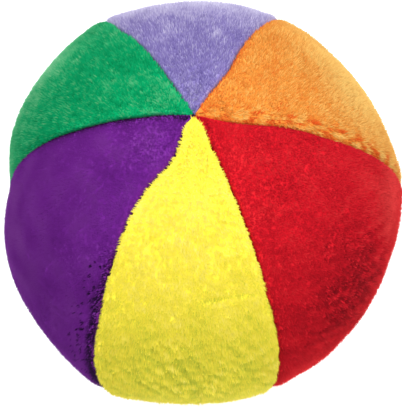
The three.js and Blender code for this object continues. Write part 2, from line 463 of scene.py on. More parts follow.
@dataclass
class StuffedCover:
    """The puckers of the stuffed cover: a cloth simulation of all six gores sewn together.

    The seams are held where they are and the cloth between them is cut a little too large, and
    nearly all of the puckering comes from that. The filling's pressure changes it little, and so
    does the enlarged scale that it runs at. Only the shape of the puckers is kept: most of each
    gore's mean movement is taken out, so that the ball keeps its outline.
    """

    shape: BallShape
    rows: int = 56
    columns: int = 14
    depth: float = 1.4 * MM
    enlarge: float = 10.0
    spare: float = 0.02
    pressure: float = 5.0
    frames: int = 20
    mean_removed: float = 0.8
    cap: float = 0.75 * MM

    def lines(self) -> tuple[np.ndarray, np.ndarray]:
        """The grid's polar angles, as a column, and its places across a gore, as a row."""
        start = self.shape.point_angle
        polar = np.linspace(start, math.pi - start, self.rows)
        return polar[:, None], np.linspace(0, 1, self.columns)[None, :]

    def sew(self, points: np.ndarray) -> bpy.types.Object:
        """Sew bent grids into one closed cover, with a vertex group that holds its seams.

        Args:
            points: the gores' points, enlarged.

        Returns:
            The cover's object.
        """
        bm = bmesh.new()
        for gore in points:
            bend_grid(bm, gore)
        cover = show_piece("cover_in_progress", closed_mesh(bm, 0.01 * MM * self.enlarge))
        held = points[:, :, [0, -1]].reshape(-1, 3)
        ends = points[:, [0, -1]].reshape(-1, 3)
        held = {tuple(np.round(point, 5)) for point in np.concatenate([held, ends])}
        group = cover.vertex_groups.new(name="seams")
        pinned = [v.index for v in cover.data.vertices if tuple(np.round(np.array(v.co), 5)) in held]
        group.add(pinned, 1.0, "REPLACE")
        return cover

    def swell(self) -> np.ndarray:
        """Run the simulation.

        Returns:
            How far each point of the grid moves outwards, in metres, shape (gores, rows, columns).
        """
        gores, lines = range(len(self.shape.seams)), self.lines()
        start = np.stack([self.shape.skin(i, *lines, self.depth) for i in gores])
        cover = self.sew(start * self.enlarge)
        cloth = cover.modifiers.new("filling", "CLOTH")
        settings = cloth.settings
        settings.quality = 10
        settings.mass = 0.3
        settings.tension_stiffness = settings.compression_stiffness = 5
        settings.bending_stiffness = 0.2
        settings.vertex_group_mass = "seams"
        settings.shrink_min = -self.spare
        settings.use_pressure = True
        settings.uniform_pressure_force = self.pressure
        settings.effector_weights.gravity = 0
        cloth.collision_settings.use_collision = False
        scene = bpy.context.scene
        for step in range(1, self.frames + 1):
            scene.frame_set(step)
        settled = cover.evaluated_get(bpy.context.evaluated_depsgraph_get()).data
        moved = np.array([v.co[:] for v in settled.vertices])
        rest = np.array([v.co[:] for v in cover.data.vertices])
        scene.frame_set(1)
        bpy.data.objects.remove(cover)
        flat = (start * self.enlarge).reshape(-1, 3)
        parts = [((part[:, None] - rest[None]) ** 2).sum(axis=2) for part in np.array_split(flat, 20)]
        nearest = np.concatenate([part.argmin(axis=1) for part in parts])
        shift = ((moved - rest)[nearest] / self.enlarge).reshape(start.shape)
        outward = np.stack([self.shape.directions(i, *lines)[0] for i in gores])
        lift = (shift * outward).sum(axis=-1)
        lift -= lift[:, 4:-4, 2:-2].mean(axis=(1, 2), keepdims=True) * self.mean_removed
        lift *= np.sin(np.linspace(0, math.pi, self.columns)) ** 0.5
        LOG.info("the cover puckers by %.2f to %.2f mm", lift.min() / MM, lift.max() / MM)
        return np.clip(lift, -self.cap, self.cap)

    def lift_at(self, lift: np.ndarray, polar: np.ndarray, across: np.ndarray) -> np.ndarray:
        """Read one gore's lift between its grid points.

        Args:
            lift: the gore's lift, shape (rows, columns).
            polar: polar angles.
            across: places across the gore.

        Returns:
            The lift at those places.
        """
        polar, across = np.broadcast_arrays(polar, across)
        start = self.shape.point_angle
        u = np.clip((polar - start) / (math.pi - 2 * start), 0, 1) * (self.rows - 1)
        v = np.clip(across, 0, 1) * (self.columns - 1)
        i, j = np.minimum(u.astype(int), self.rows - 2), np.minimum(v.astype(int), self.columns - 2)
        a, b = u - i, v - j
        upper = lift[i, j] * (1 - b) + lift[i, j + 1] * b
        lower = lift[i + 1, j] * (1 - b) + lift[i + 1, j + 1] * b
        return upper * (1 - a) + lower * a


# ---------------------------------------------------------------------------------------------
# Finishes


@dataclass(frozen=True)
class PlushFinish:
    """Knitted polyester plush: dyed pile cut to one height, so it drinks light and has no gloss.

    deep_tone_and_shade, dye and bloom are the pile's darkest, middle and palest tones. The darkest
    stands for painted shade down in the pile, and bloom also paints the pale sheen of the
    light_patches; both also serve the random change of tone from fibre to fibre. A share of sheen
    gives the pale bloom that pile has where it is seen edge-on. root_painted_shade is the painted
    shade at each fibre's root.
    """

    name: str
    deep_tone_and_shade: str
    dye: str
    bloom: str
    root_painted_shade: float = 0.7
    own_share: float = 0.2
    sheen: float = 0.75
    roughness: float = 0.95
    grain: float = 0.4 * MM
    mottle: float = 6 * MM

    def stops(self) -> list[tuple[float, Any]]:
        """The tones of the pile, from deep_tone_and_shade through the dye to the palest bloom."""
        return [(i / 2, linear_colour(code)) for i, code in enumerate((self.deep_tone_and_shade, self.dye, self.bloom))]

    def bed(self) -> bpy.types.Material:
        """The bed of pile: fine velvety grain over soft mottling, with painted shade in the grain's hollows.
        """
        material, tree, shader = new_material(f"plush_{self.name}_bed")
        place = add_node(tree, "ShaderNodeTexCoord").outputs["Object"]
        mottle, grain = (
            add_node(
                tree,
                "ShaderNodeTexNoise",
                {"Vector": place, "Scale": 1 / size, "Detail": 2.0, "Roughness": 0.6},
            ).outputs["Fac"]
            for size in (self.mottle, self.grain)
        )
        # Painted shade: the grain that raises the bump also darkens the colour in its hollows.
        tone = add_node(tree, "ShaderNodeMath", {0: mottle, 1: grain}, operation="ADD")
        half = add_node(tree, "ShaderNodeMath", {0: tone.outputs[0], 1: 0.5}, operation="MULTIPLY")
        paint(tree, shader, half.outputs[0], self.stops())
        roughen(tree, shader, grain, 0.3, 0.15 * MM)
        self.dress(shader)
        return material

    def fibres(self) -> bpy.types.Material:
        """The pile: each fibre's tone lies along its map's U, and root to tip along V, where painted shade
        darkens the roots.
        """
        material, tree, shader = new_material(f"plush_{self.name}_pile")
        place = add_node(tree, "ShaderNodeUVMap", uv_map=FIBRE_MAP).outputs["UV"]
        axes = add_node(tree, "ShaderNodeSeparateXYZ", {"Vector": place})
        tone = ramp_node(tree, axes.outputs["X"], self.stops())
        # Painted shade: each fibre darkens towards its root, where the pile around it shades it.
        root = (self.root_painted_shade,) * 3 + (1.0,)
        shade = ramp_node(tree, axes.outputs["Y"], [(0.0, root), (0.75, (1.0,) * 4)])
        colour = add_node(
            tree,
            "ShaderNodeMix",
            {0: 1.0, 6: tone, 7: shade},
            data_type="RGBA",
            blend_type="MULTIPLY",
        )
        tree.links.new(colour.outputs[2], shader.inputs["Base Color"])
        self.dress(shader)
        return material

    def dress(self, shader: Any) -> None:
        """Set what bed and fibres share."""
        shader.inputs["Roughness"].default_value = self.roughness
        shader.inputs["Specular IOR Level"].default_value = 0.1
        shader.inputs["Sheen Weight"].default_value = self.sheen
        shader.inputs["Sheen Roughness"].default_value = 0.3
        shader.inputs["Sheen Tint"].default_value = linear_colour(self.bloom)


@dataclass(frozen=True)
class ClothFinish:
    """Plain-woven cotton, undyed: matt, with a thread spacing of about half a millimetre."""

    name: str = "liner_calico"
    yarn: str = "#dcd6c8"
    gap: str = "#b9b1a0"
    spacing: float = 0.5 * MM

    def material(self) -> bpy.types.Material:
        """Crossing bands of yarn over Object coordinates."""
        material, tree, shader = new_material(self.name)
        place = add_node(tree, "ShaderNodeTexCoord").outputs["Object"]
        waves = [
            add_node(
                tree,
                "ShaderNodeTexWave",
                {"Vector": place, "Scale": 1 / self.spacing / 6.283, "Distortion": 0.6, "Detail": 1.0},
                wave_type="BANDS",
                bands_direction=direction,
            ).outputs["Fac"]
            for direction in ("Z", "DIAGONAL")
        ]
        weave = add_node(tree, "ShaderNodeMath", {0: waves[0], 1: waves[1]}, operation="MAXIMUM")
        stops = [(0.2, linear_colour(self.gap)), (0.8, linear_colour(self.yarn))]
        paint(tree, shader, weave.outputs[0], stops)
        roughen(tree, shader, weave.outputs[0], 0.5, 0.1 * MM)
        shader.inputs["Roughness"].default_value = 0.9
        shader.inputs["Specular IOR Level"].default_value = 0.2
        return material


@dataclass(frozen=True)
class ThreadFinish:
    """Spun polyester sewing thread: off-white, with a faint silky sheen along its twist."""

    name: str = "sewing_thread_polyester"
    light: str = "#ece6d8"
    shade: str = "#c4bca8"
    twist: float = 0.6 * MM

    def material(self) -> bpy.types.Material:
        """Fine diagonal bands of fibre."""
        material, tree, shader = new_material(self.name)
        place = add_node(tree, "ShaderNodeTexCoord").outputs["Object"]
        fibre = add_node(
            tree,
            "ShaderNodeTexWave",
            {"Vector": place, "Scale": 1 / self.twist / 6.283, "Distortion": 2.0, "Detail": 2.0},
            bands_direction="DIAGONAL",
        )
        stops = [(0.1, linear_colour(self.shade)), (0.9, linear_colour(self.light))]
        paint(tree, shader, fibre.outputs["Fac"], stops)
        shader.inputs["Roughness"].default_value = 0.6
        shader.inputs["Sheen Weight"].default_value = 0.2
        return material


@dataclass(frozen=True)
class PelletFinish:
    """Natural polypropylene granules: milky white, cut from strand, with a soft waxy gloss."""

    name: str = "pellets_polypropylene"
    milk: str = "#f0eee6"
    clouded: str = "#d9d6ca"

    def material(self) -> bpy.types.Material:
        """Cloudy variation from pellet to pellet."""
        material, tree, shader = new_material(self.name)
        place = add_node(tree, "ShaderNodeTexCoord").outputs["Object"]
        cloud = add_node(tree, "ShaderNodeTexNoise", {"Vector": place, "Scale": 1 / (3 * MM), "Detail": 1.0})
        stops = [(0.35, linear_colour(self.clouded)), (0.6, linear_colour(self.milk))]
        paint(tree, shader, cloud.outputs["Fac"], stops)
        shader.inputs["Roughness"].default_value = 0.4
        shader.inputs["IOR"].default_value = 1.49
        return material


# ---------------------------------------------------------------------------------------------
# Plush panels


class Fringe(Enum):
    """How the pile behaves along a seam, as its lean over the seam line."""

    TUCKED = -0.15
    EVEN = 0.35
    SPILLING = 0.6


@dataclass(frozen=True)
class Crease:
    """A short line where the pile has parted, at a polar angle and place across its panel.

    length is in millimetres and angle in degrees. strength is 1 for a full parting.
    """

    polar: float
    across: float
    length: float
    angle: float
    strength: float = 1.0


@dataclass(frozen=True)
class PaintedLightPatch:
    """A broad place where the pile's tone is painted paler or deeper: painted light and shade, such as a lit
    upper part, pale sheen where the pile is seen edge-on and shaded lower parts.

    reach is in millimetres. tufts is how much stronger the small tufts stand there.
    """

    polar: float
    across: float
    reach: float
    tone: float
    tufts: float = 0.0


@dataclass(frozen=True)
class Nap:
    """How one panel's pile lies, and how its tone varies. A tone of 0 is deep_tone_and_shade, 0.5 the dye, 1
    bloom.

    lean is how far the tips lean across the panel and down it, per unit of height, and swirl how
    much that wanders. streak_angle is the direction in degrees that small tufts lie in, and tufting
    their strength. speckle is the change of tone from fibre to fibre. loft is the pile's height
    against the others'. fringes, valleys and seam_shade_and_tones are for the first and the second
    seam: how the pile leans over it, how wide the bed rolls down to it, and the tone added there,
    which is painted shade in the seam's groove and, on the orange panel, a darker edge. ruffle is how
    far the pile is ruffled along the first seam, which also paints highlights on the ruffled tufts
    and shade between them. seam_shadow is how strong the painted shadow, with dark specks, lies low
    down along the second seam. light_patches are broad places of painted light and shade.
    """

    lean: tuple[float, float] = (0.0, 0.1)
    swirl: float = 0.08
    streak_angle: float = 20.0
    tufting: float = 0.5
    speckle: float = 0.1
    tone: float = 0.5
    loft: float = 1.0
    fringes: tuple[Fringe, Fringe] = (Fringe.EVEN, Fringe.EVEN)
    valleys: tuple[float, float] = (1.0, 1.0)
    ruffle: float = 0.0
    seam_shade_and_tones: tuple[float, float] = (0.0, 0.0)
    seam_shadow: float = 0.0
    creases: tuple[Crease, ...] = ()
    light_patches: tuple[PaintedLightPatch, ...] = ()


@dataclass
class PlushPanel:
    """One gore of plush: a closed body with turned-in edges, and its nap of fibres."""

    shape: BallShape
    index: int
    finish: PlushFinish
    nap: Nap
    cover: StuffedCover
    lift: np.ndarray
    rows: int = 220
    columns: int = 96
    bed_depth: float = 0.75 * MM
    roll: float = 1.1 * MM
    fibre_count: int = 60000
    fibre_width: float = 0.13 * MM
    fibre_length: float = 0.9 * MM
    fringe_reach: float = 1.5 * MM
    edge_reach: float = 0.7 * MM
    smoothing: float = 2.0
    root_sink: float = 0.12 * MM
    lean_jitter: float = 0.13
    length_jitter: float = 0.15
    ruffle_reach: float = 2.2 * MM
    gather_reach: float = 1.2 * MM
    seam_shadow_reach: float = 1.6 * MM
    seam_shadow_size: float = 1.1 * MM
    tuft_height: float = 0.05 * MM
    swell_height: float = 0.08 * MM
    crease_depth: float = 0.4 * MM
    crease_width: float = 0.35 * MM
    crease_waver: float = 0.5 * MM
    crease_wave: float = 1.6 * MM
    closing_radius: float = 0.3 * MM

    @property
    def cad_node(self) -> str:
        """The CAD solid that this panel stands for."""
        return f"panel_{self.finish.name}"

    def waves(self, layer: int, wavelength: float) -> WaveField:
        """A relief of this panel's own."""
        return WaveField(layer * 20 + self.index, wavelength)

    def local(self, polar: np.ndarray, across: np.ndarray) -> np.ndarray:
        """Flat coordinates on the gore, in metres: across it, down it and zero."""
        shape = self.shape
        a, b = np.broadcast_arrays((across - 0.5) * shape.width(self.index, polar), polar * shape.ball_radius)
        return np.stack([a, b, np.zeros_like(a)], axis=-1)

    @staticmethod
    def turned(local: np.ndarray, angle: float) -> tuple[np.ndarray, np.ndarray]:
        """Flat coordinates along a direction, given in degrees, and over it."""
        turn = math.radians(angle)
        along = local[..., 0] * math.cos(turn) + local[..., 1] * math.sin(turn)
        return along, -local[..., 0] * math.sin(turn) + local[..., 1] * math.cos(turn)

    def streaks(
        self, local: np.ndarray, layer: int, length: float, breadth: float, angle: float
    ) -> np.ndarray:
        """Relief of small tufts that lie in one direction."""
        along, over = self.turned(local, angle)
        scaled = np.stack([along * breadth / length, over, np.zeros_like(along)], axis=-1)
        return self.waves(layer, breadth).at(scaled)

    def partings(self, local: np.ndarray) -> np.ndarray:
        """From 0 to 1, how far the pile has opened along the panel's creases."""
        total = np.zeros(local.shape[:-1])
        for crease in self.nap.creases:
            middle = self.local(np.array(crease.polar), np.array(crease.across))
            along, over = self.turned(local - middle, crease.angle)
            over = over + self.crease_waver * np.sin(along / self.crease_wave)
            near = np.exp(-((over / self.crease_width) ** 2) - (along / (crease.length * MM / 2)) ** 4)
            total = np.maximum(total, near * crease.strength)
        return total

    def painted_light_and_tufts(self, local: np.ndarray) -> tuple[Any, Any]:
        """The painted light and shade that the panel's light_patches add to the tone, and the strength of its
        tufts.
        """
        tone, tufting = 0.0, self.nap.tufting
        for patch in self.nap.light_patches:
            middle = self.local(np.array(patch.polar), np.array(patch.across))
            near = np.exp(-((np.linalg.norm(local - middle, axis=-1) / (patch.reach * MM)) ** 2))
            tone, tufting = tone + patch.tone * near, tufting + patch.tufts * near
        return tone, tufting

    def seam_shadow(self, surface: np.ndarray, polar: np.ndarray, far: np.ndarray) -> np.ndarray:
        """From 0 to 1, the painted shadow low down along the second seam, with dark specks beside it."""
        lower = self.nap.seam_shadow * np.clip((polar - 0.7) / 0.4, 0, 1)
        beside = lower * np.exp(-far / self.seam_shadow_reach)
        small = np.clip(3 * (self.waves(9, self.seam_shadow_size).at(surface) - 1.4 + beside), 0, 1) * (beside > 0.05)
        return np.clip(small + lower * np.exp(-((far / self.seam_shadow_size) ** 2)), 0, 1)

    def relief(self, polar: np.ndarray, across: np.ndarray) -> np.ndarray:
        """Extra depth of the pile bed: soft swells, small tufts and partings."""
        local = self.local(polar, across)
        tufts = self.streaks(local, 1, 2.6 * MM, 1.3 * MM, self.nap.streak_angle) * self.painted_light_and_tufts(local)[1]
        tufts, swells = tufts * self.tuft_height, self.waves(2, 11 * MM).at(local) * self.swell_height
        return tufts + swells + self.partings(local) * self.crease_depth

    def bed(self, polar: np.ndarray, across: np.ndarray) -> np.ndarray:
        """Depth of the pile bed, rolled down at both seams."""
        width = self.shape.width(self.index, polar)
        from_seam = np.minimum(across, 1 - across) * width - self.shape.clearance / 2
        roll = np.minimum(self.roll * np.where(across < 0.5, *self.nap.valleys), width / 5)
        shoulder = np.clip(1 - from_seam / roll, 0, 1)
        rolled = np.minimum(roll, 1.3 * self.roll) * (1 - np.sqrt(1 - shoulder**2))
        lifted = self.relief(polar, across) - self.cover.lift_at(self.lift, polar, across)
        return self.bed_depth + rolled + lifted * (1 - shoulder)

    def bed_normals(self, polar: np.ndarray, across: np.ndarray) -> np.ndarray:
        """Directions out of the pile bed, softened, with its swells and rolled edges."""
        step = 0.9 * MM
        width = self.shape.width(self.index, polar)
        ahead, aside = step / self.shape.ball_radius, step / width
        margin = np.minimum(self.shape.clearance / 2 / width, 0.2)

        def lie(angle: np.ndarray, place: np.ndarray) -> np.ndarray:
            place = np.clip(place, margin, 1 - margin)
            return self.shape.skin(self.index, angle, place, self.bed(angle, place))

        down = lie(polar + ahead, across) - lie(polar - ahead, across)
        round_ = lie(polar, across + aside) - lie(polar, across - aside)
        smooth = self.shape.directions(self.index, polar, across)[0]
        return unit(unit(np.cross(down, round_)) + self.smoothing * smooth)

    def build_body(self) -> bpy.types.Mesh:
        """A grid bent round the panel's closed outline from the crown to the base."""
        shape = self.shape
        polar = np.linspace(shape.point_angle, math.pi - shape.point_angle, self.rows)[:, None]
        closing = self.closing_radius / shape.ball_radius
        crown = np.linspace(closing, math.pi - closing, self.rows)[:, None]
        width = shape.width(self.index, polar)
        edge = shape.clearance / 2 / width
        hem = np.minimum(shape.allowance_width / width, 0.3)
        foot = hem - np.minimum(shape.allowance_thickness / width, hem / 3)
        even = np.linspace(0, 1, self.columns)[None, :]
        share = (even + 0.5 - 0.5 * np.cos(even * math.pi)) / 2
        top = edge + (1 - 2 * edge) * share
        inner = hem + (1 - 2 * hem) * np.linspace(1, 0, 7)[None, :]
        across = np.concatenate([top, 1 - edge, 1 - foot, inner, foot, edge], axis=1)
        sides = np.full_like(width, shape.hem_depth)
        back = np.full_like(inner, shape.plush_depth)
        depth = np.concatenate([self.bed(crown, top), sides, sides, back, sides, sides], axis=1)
        angle = np.broadcast_to(polar, across.shape).copy()
        angle[:, : self.columns] = crown
        return bent_tube(shape.skin(self.index, angle, across, depth))

    def fibre_template(self) -> bpy.types.Mesh:
        """One fibre: a three-sided spike of unit height and radius standing on its root."""
        bm = bmesh.new()
        bmesh.ops.create_cone(bm, segments=3, radius1=1, radius2=0, depth=1, cap_ends=False)
        bmesh.ops.remove_doubles(bm, verts=bm.verts, dist=0.01)
        bmesh.ops.translate(bm, verts=bm.verts, vec=(0, 0, 0.5))
        bmesh.ops.triangulate(bm, faces=bm.faces)
        return mesh_from(bm)

    def build_pile(self) -> bpy.types.Mesh:
        """Fibres rooted in the bed, leaning with the nap and over the seams."""
        shape, nap, count = self.shape, self.nap, self.fibre_count
        draw = np.random.default_rng(101 + self.index)
        cosine = math.cos(self.closing_radius / shape.ball_radius)
        polar = np.arccos(draw.uniform(-cosine, cosine, count))
        width = shape.width(self.index, polar)
        margin = np.minimum(shape.clearance / 2 / width, 0.2)
        across = margin + draw.uniform(0, 1, count) * (1 - 2 * margin)
        surface = shape.skin(self.index, polar, across, 0.0)
        local = self.local(polar, across)
        normal, down = shape.directions(self.index, polar, across)
        side = np.cross(normal, down)
        painted_light, tufting = self.painted_light_and_tufts(local)
        streak = self.streaks(local, 3, 2.4 * MM, 0.9 * MM, nap.streak_angle) * tufting
        near, far = across * width, (1 - across) * width
        fringe = np.clip(1 - np.minimum(near, far) / self.fringe_reach, 0, 1)
        jitter = draw.normal(size=(2, count)) * self.lean_jitter * (1 - 0.5 * fringe)
        lean_side = nap.lean[0] + nap.swirl * self.waves(4, 12 * MM).at(local) + 0.06 * streak + jitter[0]
        lean_down = nap.lean[1] + nap.swirl * self.waves(5, 12 * MM).at(local) + 0.09 * streak + jitter[1]
        tuft = 1 + 0.45 * self.waves(6, 3.5 * MM).at(local)
        lean_side += np.clip(1 - far / self.fringe_reach, 0, 1) * nap.fringes[1].value * tuft
        lean_side -= np.clip(1 - near / self.fringe_reach, 0, 1) * nap.fringes[0].value * tuft
        ruffle = nap.ruffle * np.clip(1.4 - near / self.ruffle_reach, 0, 1)
        ruffled = self.streaks(local, 7, 3.6 * MM, 1.0 * MM, 116)
        lean_side -= 0.3 * ruffle * (1 + 0.5 * ruffled)
        lean_down += 0.2 * ruffle
        from_pole = np.minimum(polar, math.pi - polar) * shape.ball_radius
        gather = np.exp(-((from_pole / self.gather_reach) ** 2))
        lean_down += np.where(polar < math.pi / 2, -0.9, 0.9) * gather
        direction = unit(normal + lean_side[:, None] * side + lean_down[:, None] * down)
        roots = shape.skin(self.index, polar, across, self.bed(polar, across) + self.root_sink)
        uneven = self.length_jitter * draw.normal(size=count) * (1 - 0.5 * fringe)
        length = self.fibre_length * nap.loft * (1 + 0.06 * streak + uneven)
        length = length * (1 - 0.4 * self.partings(local)) * (1 + 0.25 * ruffle + 0.5 * gather)
        length = length * (1 - 0.2 * fringe)
        breadth = self.fibre_width * (1 - 0.2 * fringe)[:, None]
        spin = draw.uniform(0, 2 * math.pi, count)[:, None]
        first = unit(np.cross(direction, down))
        second = np.cross(direction, first)
        x_axis = (first * np.cos(spin) + second * np.sin(spin)) * breadth
        y_axis = np.cross(direction, x_axis)
        axes = np.stack([x_axis, y_axis, direction * length[:, None]], axis=1)
        mesh = scatter_copies(self.fibre_template(), roots, axes)
        # Painted light and shade: broad places make the fibres' tone paler or deeper.
        tone = nap.tone + 0.035 * self.waves(8, self.finish.mottle).at(surface) + 0.06 * streak + painted_light
        # Painted shade: fibres in the partings are darker, on top of the partings' real depth.
        tone = tone + nap.speckle * draw.normal(size=count) - 0.35 * self.partings(local)
        # Painted highlight on the ruffled tufts' crests and painted shade between them.
        tone = tone + 0.45 * ruffle * np.minimum(ruffled, 0.5)
        # Painted shade along both seams' grooves; on the orange panel also a darker edge.
        tone = tone + nap.seam_shade_and_tones[0] * np.exp(-near / self.edge_reach)
        # Painted shadow low down along the second seam, with dark specks beside it.
        tone = tone + nap.seam_shade_and_tones[1] * np.exp(-far / self.edge_reach) - self.seam_shadow(surface, polar, far)
        self.map_pile(mesh, np.clip(tone, 0.02, 0.98))
        self.shade_pile(mesh, self.bed_normals(polar, across), direction, x_axis, y_axis)
        return mesh

    def map_pile(self, mesh: bpy.types.Mesh, tone: np.ndarray) -> None:
        """Lay each fibre on the map as a thin upright strip: its tone along U, root to tip along V."""
        template = self.fibre_template()
        corners = [loop.vertex_index for loop in template.loops]
        heights = np.array([template.vertices[i].co.z for i in corners])
        wedge = np.tile([-0.004, 0.0, 0.004], len(corners) // 3)
        layer = mesh.uv_layers.new(name=FIBRE_MAP)
        places = np.empty((len(tone), len(corners), 2), np.float32)
        places[..., 0] = tone[:, None] + wedge
        places[..., 1] = 0.01 + 0.98 * heights
        layer.data.foreach_set("uv", places.ravel())

    def shade_pile(
        self,
        mesh: bpy.types.Mesh,
        normal: np.ndarray,
        direction: np.ndarray,
        x_axis: np.ndarray,
        y_axis: np.ndarray,
    ) -> None:
        """Shade the fibres mostly as the surface they stand on, as dense pile looks."""
        own_share = self.finish.own_share
        corners = np.array([v.co[:] for v in self.fibre_template().vertices])
        outward = np.einsum("vk,nkc->nvc", corners[:, :2], np.stack([x_axis, y_axis], axis=1))
        outward = unit(outward + direction[:, None, :] * 0.6 * self.fibre_width)
        shaded = unit(normal[:, None, :] * (1 - own_share) + outward * own_share)
        mesh.polygons.foreach_set("use_smooth", np.ones(len(mesh.polygons), bool))
        mesh.normals_split_custom_set_from_vertices(shaded.reshape(-1, 3))

    def build(self) -> list[bpy.types.Object]:
        """Build and dress the body and its pile, attach them to the root body and hide the CAD solid that they
        stand for.
        """
        name = self.finish.name
        body = show_piece(f"plush_{name}", self.build_body(), self.finish.bed())
        pile = show_piece(f"pile_{name}", self.build_pile(), self.finish.fibres())
        for piece in (body, pile):
            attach(piece, "root")
        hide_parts(self.cad_node)
        return [body, pile]


# ---------------------------------------------------------------------------------------------
# Sewing, liner and filling


def place_inner(piece: bpy.types.Object, slot: str, *nodes: str) -> bpy.types.Object:
    """Attach an inner piece to the root body and hide the CAD parts that it stands for."""
    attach(piece, "root")
    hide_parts(*nodes)
    return piece


@dataclass
class Sewing:
    """Seam threads, the hand-closed ladder stitch and the tacks at both ends, all behind the hems."""

    shape: BallShape
    finish: ThreadFinish
    hand_seam: str = "lavender_green"
    gap: tuple[float, float] = (math.radians(96), math.radians(136))
    hand_thread: float = 0.5 * MM
    stitch_swing: float = 0.8 * MM
    stitch_length: float = 4 * MM
    tack_radius: float = 0.7 * MM
    tack_head: float = 2.2 * MM
    tack_groove: float = 0.12 * MM
    lay: float = 1.3 * MM

    def seam_path(self, index: int, start: float, end: float) -> np.ndarray:
        """Points behind a seam between two polar angles."""
        polar = np.linspace(start, end, 160)
        return self.shape.skin(index, polar, np.zeros_like(polar), self.shape.thread_depth)

    def ladder_path(self, index: int) -> np.ndarray:
        """Points of the ladder stitch, which steps from one folded edge to the other."""
        shape = self.shape
        inset = (shape.seam_thread + shape.clearance * 2) / shape.ball_radius
        start, end = self.gap[0] + inset, self.gap[1] - inset
        length = (self.gap[1] - self.gap[0]) * (shape.ball_radius - shape.thread_depth)
        stitches = round(length / self.stitch_length)
        polar = np.linspace(start, end, stitches * 24 + 1)
        swing = np.cos(np.linspace(0, stitches * 2 * math.pi, len(polar)))
        swing = np.sign(swing) * np.abs(swing) ** 0.7 * self.stitch_swing
        return shape.skin(index, polar, swing / shape.width(index, polar), shape.thread_depth)

    def tack(self, height: float, upwards: float) -> bpy.types.Mesh:
        """A wound stem with a flat wound head, spun round the seams' axis.

        Args:
            height: where the pile tips end on the axis.
            upwards: 1 where outwards is up, -1 where it is down.

        Returns:
            The tack's mesh.
        """
        shape = self.shape
        neck = shape.hem_depth + shape.clearance
        bottom = neck + shape.seam_thread
        turn = np.linspace(0, math.pi, 5)
        rows, rings, groove = 4, 3, 0.1 * MM
        step = (neck - shape.pile) / rows
        profile = [(0.0, shape.pile)]
        for row in range(rows):
            bulge = self.tack_radius - self.tack_groove * (1 - np.sin(turn))
            profile += [(r, shape.pile + step * (row + t / math.pi)) for r, t in zip(bulge, turn)]
        for ring in range(rings):
            inner = self.tack_radius + (self.tack_head - self.tack_radius) * (ring + turn / math.pi) / rings
            profile += [(r, neck + groove * (1 - math.sin(t))) for r, t in zip(inner, turn)]
        profile += [(self.tack_head, bottom - groove), (self.tack_head - 0.15 * MM, bottom), (0.0, bottom)]
        bm = bmesh.new()
        verts = [
            bm.verts.new((r + shape.axis[0], shape.axis[1], height - upwards * depth * shape.fit))
            for r, depth in profile
        ]
        edges = [bm.edges.new(pair) for pair in zip(verts, verts[1:])]
        bmesh.ops.spin(
            bm,
            geom=verts + edges,
            cent=(shape.axis[0], shape.axis[1], 0),
            axis=(0, 0, 1),
            angle=2 * math.pi,
            steps=28,
            use_merge=True,
        )
        return closed_mesh(bm)

    def build(self) -> list[bpy.types.Object]:
        """Build every thread and tack."""
        shape, material = self.shape, self.finish.material()
        clear = self.tack_head + shape.clearance + shape.seam_thread
        start = math.asin(clear / (shape.ball_radius - shape.thread_depth))
        end = math.pi - start
        pieces = []
        for index, seam in enumerate(shape.seams):
            spans = {"": (start, end)}
            if seam.name == self.hand_seam:
                spans = {"_upper": (start, self.gap[0]), "_lower": (self.gap[1], end)}
                stitch = twisted_thread(self.ladder_path(index), self.hand_thread, self.lay)
                piece = show_piece("ladder_stitch", stitch, material)
                pieces.append(place_inner(piece, "sewing_thread", "closing_stitch"))
            for suffix, span in spans.items():
                thread = twisted_thread(self.seam_path(index, *span), shape.seam_thread, self.lay)
                piece = show_piece(f"thread_{seam.name}{suffix}", thread, material)
                pieces.append(place_inner(piece, "sewing_thread", f"seam_thread_{seam.name}{suffix}"))
        top = (shape.middle + shape.crown_rise) * shape.fit
        for end_name, height, upwards in (("crown", top, 1.0), ("base", 0.0, -1.0)):
            piece = show_piece(f"tack_{end_name}", self.tack(height, upwards), material)
            pieces.append(place_inner(piece, "sewing_thread", f"{end_name}_tack"))
        return pieces


